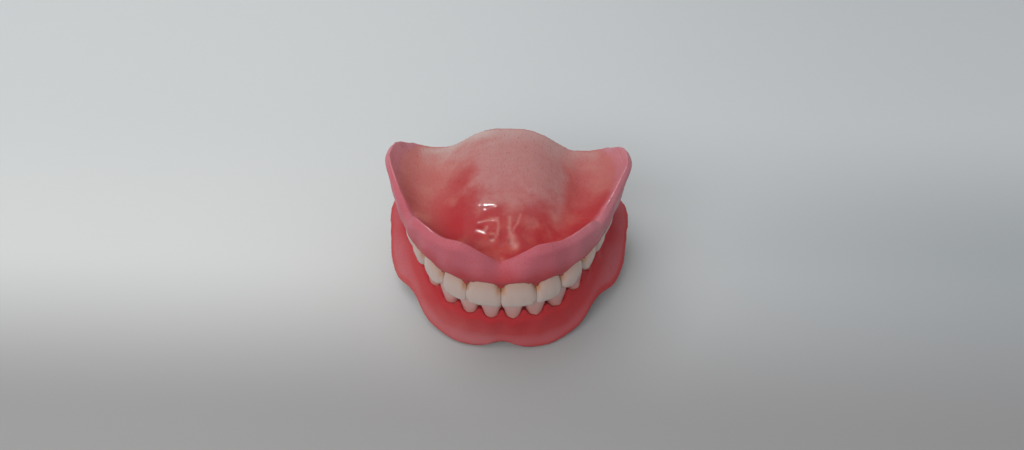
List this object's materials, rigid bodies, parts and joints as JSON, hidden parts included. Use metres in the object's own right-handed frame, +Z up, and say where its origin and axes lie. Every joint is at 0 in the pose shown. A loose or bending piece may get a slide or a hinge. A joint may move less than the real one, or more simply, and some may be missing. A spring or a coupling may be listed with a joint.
{
  "type": "full denture",
  "caption": "Complete upper and lower dentures set one on the other: pink acrylic bases with a palate and rolled rims, each carrying a full row of separate acrylic teeth.",
  "frame": {"origin": "on the table, under the middle of the whole object", "axes": "+Z up, away from the table; -Y to the lips, the front of the mouth; +X to the wearer's left"},
  "size_m": [0.0648, 0.0499, 0.0357],
  "materials": {
    "denture_acrylic": "polished pink denture acrylic with fine fibres, matt on the fitting sides",
    "tooth_acrylic": "glossy cream denture tooth acrylic, warmer at the neck"
  },
  "bodies": {
    "root": {"upper_base": "denture_acrylic", "upper_left_central_incisor": "tooth_acrylic", "upper_left_lateral_incisor": "tooth_acrylic", "upper_left_canine": "tooth_acrylic", "upper_left_first_premolar": "tooth_acrylic", "upper_left_second_premolar": "tooth_acrylic", "upper_left_first_molar": "tooth_acrylic", "upper_left_second_molar": "tooth_acrylic", "upper_right_central_incisor": "tooth_acrylic", "upper_right_lateral_incisor": "tooth_acrylic", "upper_right_canine": "tooth_acrylic", "upper_right_first_premolar": "tooth_acrylic", "upper_right_second_premolar": "tooth_acrylic", "upper_right_first_molar": "tooth_acrylic", "upper_right_second_molar": "tooth_acrylic", "lower_base": "denture_acrylic", "lower_left_central_incisor": "tooth_acrylic", "lower_left_lateral_incisor": "tooth_acrylic", "lower_left_canine": "tooth_acrylic", "lower_left_first_premolar": "tooth_acrylic", "lower_left_second_premolar": "tooth_acrylic", "lower_left_first_molar": "tooth_acrylic", "lower_left_second_molar": "tooth_acrylic", "lower_right_central_incisor": "tooth_acrylic", "lower_right_lateral_incisor": "tooth_acrylic", "lower_right_canine": "tooth_acrylic", "lower_right_first_premolar": "tooth_acrylic", "lower_right_second_premolar": "tooth_acrylic", "lower_right_first_molar": "tooth_acrylic", "lower_right_second_molar": "tooth_acrylic"}
  },
  "joints": []
}
